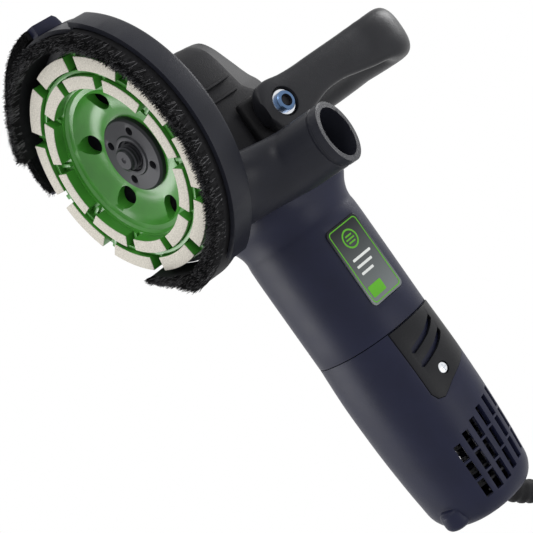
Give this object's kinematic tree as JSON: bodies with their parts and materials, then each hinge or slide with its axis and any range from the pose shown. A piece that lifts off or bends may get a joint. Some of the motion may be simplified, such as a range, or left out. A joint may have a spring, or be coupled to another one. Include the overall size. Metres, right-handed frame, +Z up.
{
  "type": "concrete grinder",
  "caption": "Hand-held concrete grinder with a segmented cup wheel, a brushed dust shroud with side port and edge gate, a bail handle and a mains cord.",
  "frame": {"origin": "centre of the flat end of the threaded spindle, 7 mm above the wheel's working face", "axes": "+X along the motor axis from the gear head to the tail, +Z up along the spindle axis towards the bail handle, so the wheel faces -Z; -Y is the side of the dust port"},
  "size_m": [0.5839, 0.2315, 0.2067],
  "materials": {
    "green_paint": "satin green enamel over turned steel",
    "diamond_segment": "dressed diamond and metal bond, fine grit",
    "steel": "machined",
    "dark_steel": "black oxide steel",
    "zinc": "bright zinc plate",
    "copper": "turned copper",
    "brass": "pressed brass",
    "carbon": "pressed carbon graphite",
    "cast_aluminium_dark": "dark textured die casting",
    "navy_plastic": "fine grained navy nylon",
    "shroud_plastic": "fine grained dark blue-grey nylon",
    "handle_plastic": "fine grained dark grey nylon",
    "dark_plastic": "black nylon",
    "label": "glossy film with a green border",
    "rubber": "black rubber",
    "bristle": "black nylon bristles"
  },
  "bodies": {
    "housing": {"lower_bearing": "steel", "upper_bearing": "steel", "front_bearing": "steel", "rear_bearing": "steel", "stator": "steel", "gearbox_screw_1": "steel", "gearbox_screw_2": "steel", "gearbox_screw_3": "steel", "gearbox_screw_4": "steel", "lock_spring": "steel", "cover_screw_left": "steel", "cover_screw_right": "steel", "clamp_band": "steel", "clamp_screw": "steel", "plug_pin_1": "steel", "plug_pin_2": "steel", "handle_washer_left": "zinc", "handle_washer_right": "zinc", "handle_bolt_left": "zinc", "handle_bolt_right": "zinc", "brush_holder_left": "brass", "brush_holder_right": "brass", "carbon_brush_left": "carbon", "carbon_brush_right": "carbon", "gearbox_housing": "cast_aluminium_dark", "neck_flange": "cast_aluminium_dark", "bearing_plate_front": "cast_aluminium_dark", "motor_housing": "navy_plastic", "tail_housing": "navy_plastic", "shroud": "shroud_plastic", "bearing_plate_rear": "dark_plastic", "switch_module": "dark_plastic", "brush_cover_left": "dark_plastic", "brush_cover_right": "dark_plastic", "label_plate_left": "label", "label_plate_right": "label", "handle_boss_left": "rubber", "handle_boss_right": "rubber", "cord_guard": "rubber", "mains_cord": "rubber", "cord_coil": "rubber", "plug_body": "rubber", "brush_ring": "bristle"},
    "wheel_spindle": {"spindle": "steel", "crown_gear": "steel", "inner_flange": "steel", "cup_wheel": "green_paint", "diamond_segments": "diamond_segment", "flange_nut": "dark_steel"},
    "armature": {"armature_shaft": "steel", "armature_core": "steel", "commutator": "copper", "cooling_fan": "dark_plastic", "pinion": "steel"},
    "gate": {"gate_hood": "navy_plastic", "gate_brush": "bristle"},
    "handle": {"bail_handle": "handle_plastic"},
    "switch": {"switch_slider": "dark_plastic", "switch_rod": "steel"},
    "lock": {"lock_button": "dark_plastic"}
  },
  "joints": [
    {"name": "spindle_spin", "type": "hinge", "parent": "housing", "child": "wheel_spindle", "pos_m": [0, 0, 0], "axis": [0, 0, 1], "continuous": true},
    {"name": "armature_spin", "type": "hinge", "parent": "housing", "child": "armature", "pos_m": [0.1, 0, 0.0685], "axis": [1, 0, 0], "continuous": true},
    {"name": "gate_turn", "type": "hinge", "parent": "housing", "child": "gate", "pos_m": [0, 0, 0.008], "axis": [0, 0, 1], "range_deg": [-71, 0]},
    {"name": "handle_tilt", "type": "hinge", "parent": "housing", "child": "handle", "pos_m": [0.023, 0, 0.07], "axis": [0, 1, 0], "range_deg": [-25, 30]},
    {"name": "switch_slide", "type": "slide", "parent": "housing", "child": "switch", "axis": [-1, 0, 0], "range_m": [0, 0.006]},
    {"name": "spindle_lock_press", "type": "slide", "parent": "housing", "child": "lock", "axis": [0, 0, -1], "range_m": [0, 0.0028], "stiffness_N_per_m": 900, "deforming": ["lock_spring"]}
  ],
  "couplings": [
    {"joint": "armature_spin", "follows": "spindle_spin", "ratio": 3}
  ]
}
